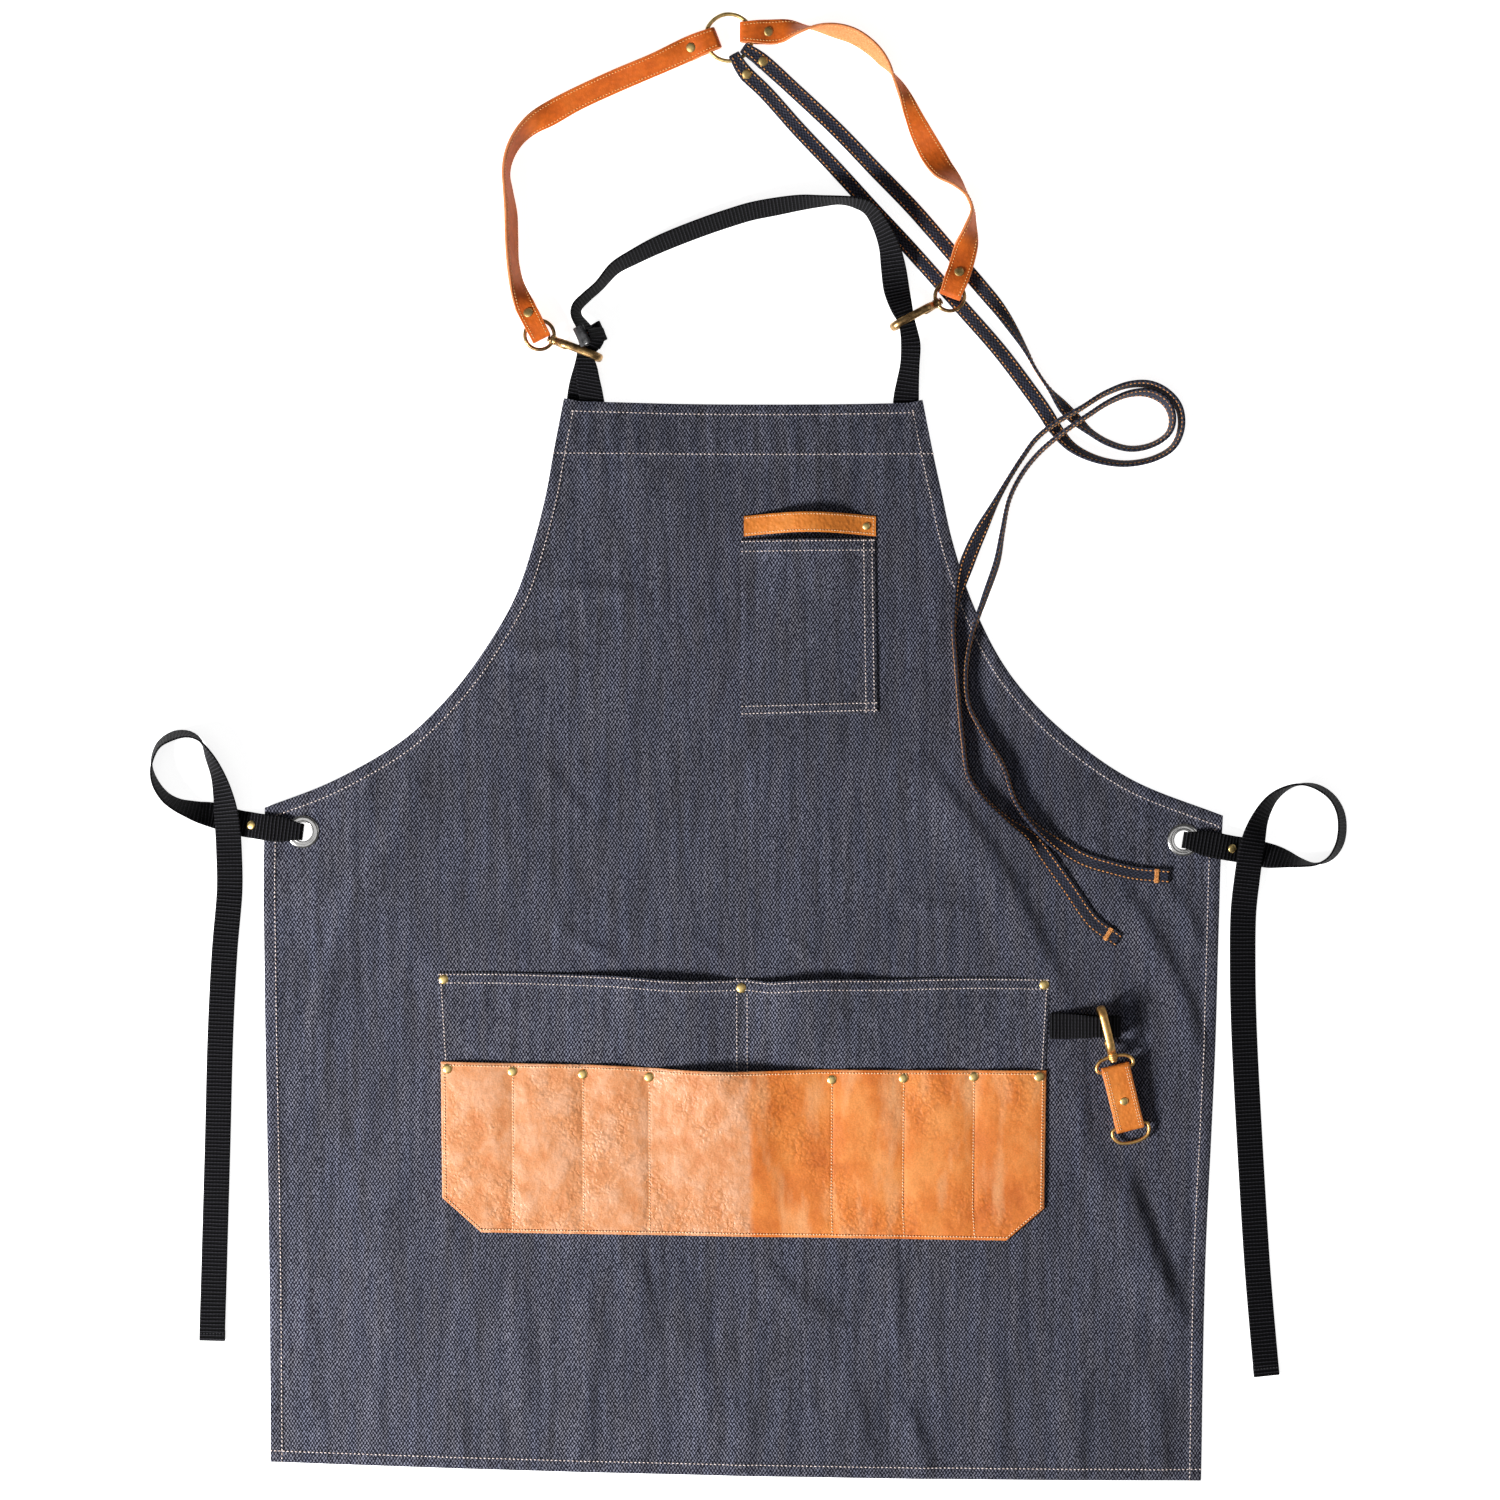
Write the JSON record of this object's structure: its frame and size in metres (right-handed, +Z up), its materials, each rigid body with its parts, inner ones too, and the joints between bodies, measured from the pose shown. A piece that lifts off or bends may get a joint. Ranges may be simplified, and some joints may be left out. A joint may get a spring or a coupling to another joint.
{
  "type": "barber apron",
  "caption": "Denim work apron with leather tool pocket, riveted trim, webbing neck strap and ties, and a leather and denim yoke on snap hooks.",
  "frame": {"origin": "centre of the lying apron's footprint, on the ground", "axes": "+X to the right of the apron as it lies front side up, +Y from the hem towards the bib and yoke, +Z up off the ground"},
  "size_m": [0.8852, 1.0858, 0.0222],
  "materials": {
    "denim": "dark blue-grey speckled denim",
    "leather": "orange-tan grained leather",
    "webbing": "black ribbed webbing",
    "brass": "antique brass",
    "silver": "bright plated grommet",
    "plastic": "black moulded slider"
  },
  "bodies": {
    "apron": {"apron_panel": "denim", "chest_pocket": "denim", "lower_pocket": "denim", "left_denim_strap": "denim", "right_denim_strap": "denim", "pen_band": "leather", "leather_pocket": "leather", "left_leather_strap": "leather", "right_leather_strap": "leather", "keeper_tab": "leather", "left_tie": "webbing", "right_tie": "webbing", "neck_strap": "webbing", "slider_tab": "webbing", "keeper_webbing": "webbing", "pocket_rivet_left": "brass", "pocket_rivet_middle": "brass", "pocket_rivet_right": "brass", "leather_rivet_1": "brass", "leather_rivet_2": "brass", "leather_rivet_3": "brass", "leather_rivet_4": "brass", "leather_rivet_5": "brass", "leather_rivet_6": "brass", "leather_rivet_7": "brass", "leather_rivet_8": "brass", "band_rivet": "brass", "left_tie_rivet": "brass", "right_tie_rivet": "brass", "left_leather_ring_rivet": "brass", "left_leather_hook_rivet": "brass", "right_leather_ring_rivet": "brass", "right_leather_hook_rivet": "brass", "left_denim_rivet": "brass", "right_denim_rivet": "brass", "keeper_tab_rivet": "brass", "o_ring": "brass", "left_hook_ring": "brass", "left_hook": "brass", "right_hook_ring": "brass", "right_hook": "brass", "keeper_hook_ring": "brass", "keeper_hook": "brass", "left_grommet": "silver", "right_grommet": "silver", "neck_slider": "plastic"},
    "left_gate": {"left_hook_gate": "brass"},
    "right_gate": {"right_hook_gate": "brass"},
    "keeper_gate": {"keeper_hook_gate": "brass"},
    "drop_ring": {"tool_ring": "brass"}
  },
  "joints": [
    {"name": "left_gate_hinge", "type": "hinge", "parent": "apron", "child": "left_gate", "pos_m": [-0.13355, 0.29591, 0.0024], "axis": [-0.3584, -0.9336, 0], "range_deg": [0, 14], "stiffness_Nm_per_rad": 0.005},
    {"name": "right_gate_hinge", "type": "hinge", "parent": "apron", "child": "right_gate", "pos_m": [0.12873, 0.32176, 0.0024], "axis": [-0.4772, 0.8788, 0], "range_deg": [0, 14], "stiffness_Nm_per_rad": 0.005},
    {"name": "keeper_gate_hinge", "type": "hinge", "parent": "apron", "child": "keeper_gate", "pos_m": [0.26551, -0.21669, 0.00533], "axis": [0.9703, 0.2419, 0], "range_deg": [0, 14], "stiffness_Nm_per_rad": 0.005},
    {"name": "drop_ring_hinge", "type": "hinge", "parent": "apron", "child": "drop_ring", "pos_m": [0.28131, -0.28007, 0.00557], "axis": [-0.9703, -0.2419, 0], "range_deg": [0, 150]}
  ]
}
